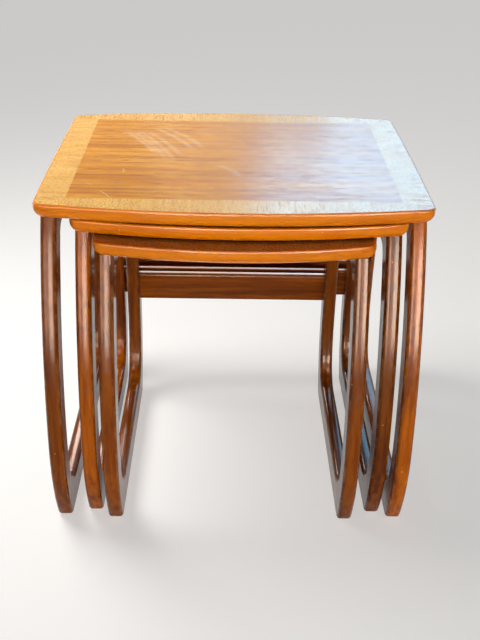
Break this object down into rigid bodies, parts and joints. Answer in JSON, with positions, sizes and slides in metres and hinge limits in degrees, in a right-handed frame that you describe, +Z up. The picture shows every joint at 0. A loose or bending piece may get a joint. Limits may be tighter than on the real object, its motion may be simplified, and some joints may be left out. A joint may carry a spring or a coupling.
{
  "type": "nesting tables",
  "caption": "Nest of small wooden tables with bowed crossbanded veneer tops on closed side frames with curved legs; the smaller tables pull out from under the larger.",
  "frame": {"origin": "on the floor under the middle of the outer table", "axes": "+X to the right and -Y to the front as the nest is seen from its open side, +Z up"},
  "size_m": [0.536, 0.524, 0.5],
  "materials": {
    "field veneer": "satin lacquer, grain along the width",
    "border veneer": "satin lacquer, grain across each strip",
    "lipping wood": "satin lacquer",
    "frame wood": "satin lacquer, grain along each piece",
    "core board": "raw board, hidden",
    "backing veneer": "thin matt seal",
    "dowel wood": "raw turned beech",
    "screw steel": "plain zinc"
  },
  "bodies": {
    "outer_table": {"outer_backing_veneer": "backing veneer", "outer_top_core": "core board", "outer_field_veneer": "field veneer", "outer_border_veneer": "border veneer", "outer_lipping_front": "lipping wood", "outer_lipping_rear": "lipping wood", "outer_lipping_left": "lipping wood", "outer_lipping_right": "lipping wood", "outer_runner_left": "frame wood", "outer_runner_right": "frame wood", "outer_bearer_left": "frame wood", "outer_bearer_right": "frame wood", "outer_front_leg_left": "frame wood", "outer_front_leg_right": "frame wood", "outer_rear_leg_left": "frame wood", "outer_rear_leg_right": "frame wood", "outer_back_rail": "frame wood", "outer_dowels": "dowel wood", "outer_screws": "screw steel"},
    "middle_table": {"middle_backing_veneer": "backing veneer", "middle_top_core": "core board", "middle_field_veneer": "field veneer", "middle_border_veneer": "border veneer", "middle_lipping_front": "lipping wood", "middle_lipping_rear": "lipping wood", "middle_lipping_left": "lipping wood", "middle_lipping_right": "lipping wood", "middle_runner_left": "frame wood", "middle_runner_right": "frame wood", "middle_bearer_left": "frame wood", "middle_bearer_right": "frame wood", "middle_front_leg_left": "frame wood", "middle_front_leg_right": "frame wood", "middle_rear_leg_left": "frame wood", "middle_rear_leg_right": "frame wood", "middle_back_rail": "frame wood", "middle_dowels": "dowel wood", "middle_screws": "screw steel"},
    "inner_table": {"inner_backing_veneer": "backing veneer", "inner_top_core": "core board", "inner_field_veneer": "field veneer", "inner_border_veneer": "border veneer", "inner_lipping_front": "lipping wood", "inner_lipping_rear": "lipping wood", "inner_lipping_left": "lipping wood", "inner_lipping_right": "lipping wood", "inner_runner_left": "frame wood", "inner_runner_right": "frame wood", "inner_bearer_left": "frame wood", "inner_bearer_right": "frame wood", "inner_front_leg_left": "frame wood", "inner_front_leg_right": "frame wood", "inner_rear_leg_left": "frame wood", "inner_rear_leg_right": "frame wood", "inner_back_rail": "frame wood", "inner_dowels": "dowel wood", "inner_screws": "screw steel"}
  },
  "joints": [
    {"name": "middle_slide", "type": "slide", "parent": "outer_table", "child": "middle_table", "axis": [0, -1, 0], "range_m": [-0.0015, 0.5]},
    {"name": "inner_slide", "type": "slide", "parent": "middle_table", "child": "inner_table", "axis": [0, -1, 0], "range_m": [-0.0315, 0.45]}
  ]
}
